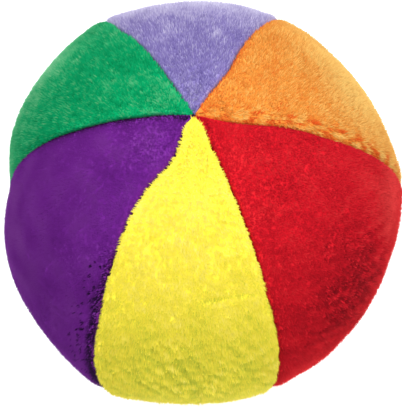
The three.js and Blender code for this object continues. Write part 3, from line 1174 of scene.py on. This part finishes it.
@dataclass
class Liner:
    """A calico bag in two halves, sewn round the middle, that keeps the pellets in."""

    shape: BallShape
    cloth: ClothFinish
    thread: ThreadFinish
    thread_diameter: float = 0.4 * MM
    lay: float = 0.9 * MM
    knot_radius: float = 1 * MM
    knot_panel: int = 3
    rows: int = 40
    gore_columns: int = 16
    wrinkle: float = 0.1 * MM

    def ring(self, polar: np.ndarray, depth: np.ndarray) -> np.ndarray:
        """Rings round the ball, one for each polar angle and depth."""
        across = np.arange(self.gore_columns)[None, :] / self.gore_columns
        polar, depth, gores = polar[:, None], depth[:, None], range(len(self.shape.seams))
        return np.concatenate([self.shape.skin(i, polar, across, depth) for i in gores], axis=1)

    def half(self, pole: float, rim: float) -> np.ndarray:
        """Points over a half's outer face from the pole to the rim and back inside."""
        shape = self.shape
        polar = np.concatenate([np.linspace(pole, rim, self.rows), np.linspace(rim, pole, self.rows)])
        inside = shape.liner_depth + shape.liner_cloth
        depth = np.repeat([shape.liner_depth, inside], self.rows)
        points = self.ring(polar, depth)
        creases = WaveField(301, 9 * MM).at(points)
        inwards = -unit(points - np.array([0, 0, shape.middle]))
        fade = np.sin(polar)[:, None, None]
        return points + inwards * (self.wrinkle * np.clip(creases, 0, 1))[..., None] * fade

    def knot_path(self) -> np.ndarray:
        """A trefoil that lies flat against the liner."""
        shape = self.shape
        polar, across = np.array([math.pi / 2]), np.array([0.5])
        place = shape.skin(self.knot_panel, polar, across, (shape.plush_depth + shape.liner_depth) / 2)[0]
        outward = unit(np.array([place[0], place[1], 0.0]))
        side = np.cross([0.0, 0.0, 1.0], outward)
        turn = np.linspace(0, 4 * math.pi, 160)
        reach = self.knot_radius * (2 + np.cos(1.5 * turn)) * 0.5
        x, y, z = reach * np.cos(turn), reach * np.sin(turn), self.knot_radius * np.sin(1.5 * turn) * 0.5
        return place + x[:, None] * side + y[:, None] * np.array([0.0, 0.0, 1.0]) + z[:, None] * outward

    def build(self) -> list[bpy.types.Object]:
        """Build both halves, the thread between them and its knot."""
        shape, cloth, sewn = self.shape, self.cloth.material(), self.thread.material()
        inside = shape.liner_depth + shape.liner_cloth
        step = (self.thread_diameter / 2 + shape.clearance) / (shape.crown_rise - inside)
        pieces = []
        for name, pole, rim in (("upper", 0.0, math.pi / 2 - step), ("lower", math.pi, math.pi / 2 + step)):
            piece = show_piece(f"calico_{name}", bent_tube(self.half(pole, rim)), cloth)
            pieces.append(place_inner(piece, "liner_cloth", f"liner_{name}"))
        middle = self.ring(np.array([math.pi / 2]), np.array([(shape.liner_depth + inside) / 2]))[0]
        loop = np.concatenate([middle, middle[:1]])
        for name, path in (("thread", loop), ("knot", self.knot_path())):
            mesh = twisted_thread(path, self.thread_diameter, self.lay, closed=True)
            piece = show_piece(f"calico_{name}", mesh, sewn)
            pieces.append(place_inner(piece, "sewing_thread", f"liner_{name}"))
        return pieces


@dataclass
class PelletFill:
    """Loose granules packed through the whole inside of the liner."""

    shape: BallShape
    finish: PelletFinish
    radius: float = 1.35 * MM
    length: float = 2.2 * MM
    spacing: float = 3.8 * MM

    def pellet(self) -> bpy.types.Mesh:
        """One granule: a short round-edged cylinder cut from strand."""
        bm = bmesh.new()
        radius = self.radius
        bmesh.ops.create_cone(bm, cap_ends=True, segments=6, radius1=radius, radius2=radius, depth=self.length)
        rims = [edge for edge in bm.edges if abs(edge.verts[0].co.z - edge.verts[1].co.z) < MM / 10]
        bmesh.ops.bevel(
            bm,
            geom=rims,
            offset=self.radius * 0.25,
            offset_type="OFFSET",
            segments=1,
            profile=0.5,
            affect="EDGES",
            material=-1,
        )
        bmesh.ops.triangulate(bm, faces=bm.faces)
        return mesh_from(bm)

    def places(self) -> np.ndarray:
        """Close-packed places whose whole granule lies inside the liner."""
        shape, pitch = self.shape, self.spacing
        count = int(2 * shape.ball_radius / pitch) + 2
        i, j, k = np.meshgrid(*[np.arange(-count // 2, count // 2 + 1)] * 3, indexing="ij")
        x = (i + 0.5 * (j % 2) + 0.5 * (k % 2)) * pitch
        y = (j * math.sqrt(3) / 2 + (k % 2) / math.sqrt(12)) * pitch
        z = k * math.sqrt(2 / 3) * pitch
        points = np.stack([x.ravel(), y.ravel(), z.ravel()], axis=1)
        grain = math.hypot(self.radius, self.length / 2)
        reach = self.reach(unit(points + 1e-9)) - grain
        inside = np.linalg.norm(points, axis=1) < reach
        floor = shape.fill_depth + grain - shape.middle
        inside &= points[:, 2] > floor
        return points[inside] + np.array([*shape.axis, shape.middle])

    def reach(self, directions: np.ndarray) -> np.ndarray:
        """Distance from the middle to the fill's face in each direction, taken where it is nearest."""
        shape = self.shape
        polar, across = np.meshgrid(np.linspace(0.1, 3.0, 24), np.linspace(0, 1, 8), indexing="ij")
        reach = np.full(len(directions), np.inf)
        centre = np.array([*shape.axis, shape.middle])
        for index in range(len(shape.seams)):
            skin = shape.skin(index, polar, across, shape.fill_depth).reshape(-1, 3) - centre
            lengths = np.linalg.norm(skin, axis=1)
            facing = directions @ (skin / lengths[:, None]).T
            close = np.where(facing > 0.985, lengths[None, :], np.inf)
            reach = np.minimum(reach, close.min(axis=1))
        return np.where(np.isfinite(reach), reach, 0.0)

    def build(self) -> list[bpy.types.Object]:
        """Turn each granule at random and join them."""
        draw = np.random.default_rng(401)
        places = self.places()
        x_axis = unit(draw.normal(size=(len(places), 3)))
        z_axis = unit(np.cross(x_axis, draw.normal(size=(len(places), 3))))
        axes = np.stack([x_axis, np.cross(z_axis, x_axis), z_axis], axis=1)
        piece = show_piece("pellets", scatter_copies(self.pellet(), places, axes), self.finish.material())
        return [place_inner(piece, "plastic_pellets", "pellet_fill")]


# ---------------------------------------------------------------------------------------------
# Studio


@dataclass
class Studio:
    """Plain pale floor, soft light and the camera."""

    shape: BallShape
    elevation: float = 66.2
    roll: float = -1.6
    distance: float = 9.0
    aside: tuple[float, float] = (0.70 * MM, -0.40 * MM)
    lens: float = 165.6
    sensor: float = 36.0
    floor_size: float = 4.0
    floor_glow: float = 0.38
    light_distance: float = 0.6

    def build_floor(self) -> bpy.types.Object:
        """A wide sheet of pale backlit paper."""
        bm = bmesh.new()
        bmesh.ops.create_grid(bm, x_segments=4, y_segments=4, size=self.floor_size / 2)
        material, tree, shader = new_material("paper_backdrop")
        place = add_node(tree, "ShaderNodeTexCoord").outputs["Object"]
        tooth = add_node(tree, "ShaderNodeTexNoise", {"Vector": place, "Scale": 900.0, "Detail": 2.0})
        stops = [(0.0, linear_colour("#f4f4f4")), (1.0, linear_colour("#ffffff"))]
        paint(tree, shader, tooth.outputs["Fac"], stops)
        shader.inputs["Roughness"].default_value = 0.9
        shader.inputs["Emission Color"].default_value = (1, 1, 1, 1)
        shader.inputs["Emission Strength"].default_value = self.floor_glow
        floor = show_piece("floor", mesh_from(bm), material)
        return floor

    def build_camera(self) -> bpy.types.Object:
        """A long lens that looks down on the crown from the yellow panel's side."""
        tilt = math.radians(self.elevation)
        back = Vector((0, -math.cos(tilt), math.sin(tilt)))
        right = Vector((1, 0, 0))
        up = back.cross(right)
        target = Vector((*self.shape.axis, self.shape.middle))
        target += right * self.aside[0] + up * self.aside[1]
        data = bpy.data.cameras.new("camera")
        data.lens = self.lens
        data.sensor_width = self.sensor
        data.sensor_fit = "HORIZONTAL"
        data.clip_start = 0.01
        camera = bpy.data.objects.new("camera", data)
        turn = Matrix((right, up, back)).transposed() @ Matrix.Rotation(math.radians(self.roll), 3, "Z")
        place = target + back * self.distance * self.shape.ball_radius
        camera.matrix_world = Matrix.Translation(place) @ turn.to_4x4()
        bpy.context.scene.collection.objects.link(camera)
        bpy.context.scene.camera = camera
        return camera

    def add_softbox(self, name: str, azimuth: float, elevation: float, power: float, size: float) -> None:
        """Hang a square softbox round the ball, facing it.

        Args:
            name: the light's name.
            azimuth: degrees round from +X.
            elevation: degrees above the floor.
            power: watts.
            size: side in metres.
        """
        away, rise = math.radians(azimuth), math.radians(elevation)
        direction = Vector((math.cos(away) * math.cos(rise), math.sin(away) * math.cos(rise), math.sin(rise)))
        data = bpy.data.lights.new(name, "AREA")
        data.energy = power
        data.size = size
        light = bpy.data.objects.new(name, data)
        light.location = Vector((0, 0, self.shape.middle)) + direction * self.light_distance
        light.rotation_euler = direction.to_track_quat("Z", "Y").to_euler()
        bpy.context.scene.collection.objects.link(light)

    def build_lights(self) -> None:
        """A white surround, a large softbox nearly overhead and a lower one behind."""
        world = bpy.data.worlds.new("surround")
        world.use_nodes = True
        world.node_tree.nodes["Background"].inputs["Color"].default_value = (1, 1, 1, 1)
        world.node_tree.nodes["Background"].inputs["Strength"].default_value = 1.0
        bpy.context.scene.world = world
        self.add_softbox("key", -60, 80, 3.9, 0.6)
        self.add_softbox("back", 90, 22, 1.6, 0.7)
        bpy.context.scene.view_settings.view_transform = "Standard"

    def build(self) -> None:
        """Build the floor, camera and lights."""
        self.build_floor()
        self.build_camera()
        self.build_lights()


# Each panel's finish and nap, in order round the ball: panel i lies between seams i and i + 1.
PANELS = (
    (
        PlushFinish("yellow", "#c8d242", "#fdec48", "#fff288", own_share=0.08, root_painted_shade=0.85, sheen=0.35),
        Nap(
            lean=(0.0, 0.12), swirl=0.03, streak_angle=18, tufting=0.4, speckle=0.09, loft=1.1,
            fringes=(Fringe.SPILLING, Fringe.EVEN),
            creases=(Crease(0.89, 0.74, 8, 8), Crease(1.38, 0.72, 8, 6), Crease(1.28, 0.2, 9, 12, 0.5)),
            # Painted light near the crown; painted shade towards the middle, where the tufts also stand
            # stronger.
            light_patches=(PaintedLightPatch(0.5, 0.5, 14, 0.15), PaintedLightPatch(1.5, 0.5, 15, -0.3, 2.6)),
        ),
    ),
    (
        PlushFinish("red", "#860e1a", "#ce1626", "#ea4242", own_share=0.08),
        Nap(
            # Painted shade along the first seam's groove.
            streak_angle=-30, tufting=0.4, speckle=0.06, valleys=(1.6, 1.0), seam_shade_and_tones=(-0.3, 0.0),
            fringes=(Fringe.EVEN, Fringe.TUCKED),
            creases=(
                Crease(0.91, 0.46, 8, 3, 0.75), Crease(1.1, 0.6, 9, -24), Crease(1.24, 0.52, 11, -30),
                Crease(1.3, 0.3, 7, -20), Crease(1.42, 0.55, 9, -34),
            ),
            # Painted shade low on the panel, where the tufts also stand stronger; painted sheen near its
            # second seam.
            light_patches=(PaintedLightPatch(1.3, 0.45, 11, -0.5, 3.0), PaintedLightPatch(1.25, 0.85, 9, 0.5)),
        ),
    ),
    (
        PlushFinish("orange", "#de561e", "#e48f38", "#fcce74", own_share=0.15),
        Nap(
            # The tone darker along both seams, most along the second.
            streak_angle=30, tufting=0.5, speckle=0.11, ruffle=1.0, seam_shade_and_tones=(-0.1, -0.5),
            fringes=(Fringe.SPILLING, Fringe.EVEN),
            # Painted sheen: a broad paler place.
            light_patches=(PaintedLightPatch(1.05, 0.45, 12, 0.45),),
        ),
    ),
    (
        PlushFinish("lavender", "#574a8e", "#8275b3", "#dcd7ee"),
        Nap(
            streak_angle=-20, tufting=0.5, speckle=0.1,
            fringes=(Fringe.TUCKED, Fringe.TUCKED),
            # Painted sheen: a broad paler place above the ball's middle, and the tone a little deeper near the
            # crown.
            light_patches=(PaintedLightPatch(1.2, 0.5, 15, 0.42), PaintedLightPatch(0.3, 0.5, 9, -0.05)),
        ),
    ),
    (
        PlushFinish("green", "#006c3c", "#00a466", "#86c896", sheen=0.35),
        Nap(
            streak_angle=25, tufting=1.2, speckle=0.09, tone=0.42,
            fringes=(Fringe.SPILLING, Fringe.EVEN),
            # Painted sheen: a broad paler place near the first seam.
            light_patches=(PaintedLightPatch(1.15, 0.42, 9, 0.35),),
        ),
    ),
    (
        PlushFinish("purple", "#1c0628", "#6a2086", "#8a4a9e", own_share=0.03, root_painted_shade=0.95, sheen=0.3),
        Nap(
            streak_angle=0, tufting=0.1, speckle=0.015, tone=0.52, loft=0.85, valleys=(1.8, 2.4),
            # Painted shade along the first seam's groove, and painted shadow low down along the second seam.
            seam_shade_and_tones=(-1.4, -0.2), seam_shadow=1.3,
            fringes=(Fringe.TUCKED, Fringe.TUCKED),
            # Painted sheen: a slightly paler place near the first seam.
            light_patches=(PaintedLightPatch(1.2, 0.3, 9, 0.1),),
        ),
    ),
)


def main() -> None:
    logging.basicConfig(level=logging.INFO, format="%(message)s")
    low, high = CAD_BOX
    shape = BallShape(cad_height=high.z - low.z)
    Studio(shape).build()
    thread = ThreadFinish()
    cover = StuffedCover(shape)
    lift = cover.swell()
    assemblies: list[Any] = [
        PlushPanel(shape, index, finish, nap, cover, lift[index])
        for index, (finish, nap) in enumerate(PANELS)
    ]
    assemblies += [Sewing(shape, thread), Liner(shape, ClothFinish(), thread)]
    assemblies += [PelletFill(shape, PelletFinish())]
    for assembly in assemblies:
        for piece in assembly.build():
            LOG.info("%s: %d faces", piece.name, len(piece.data.polygons))


if __name__ == "__main__":
    main()
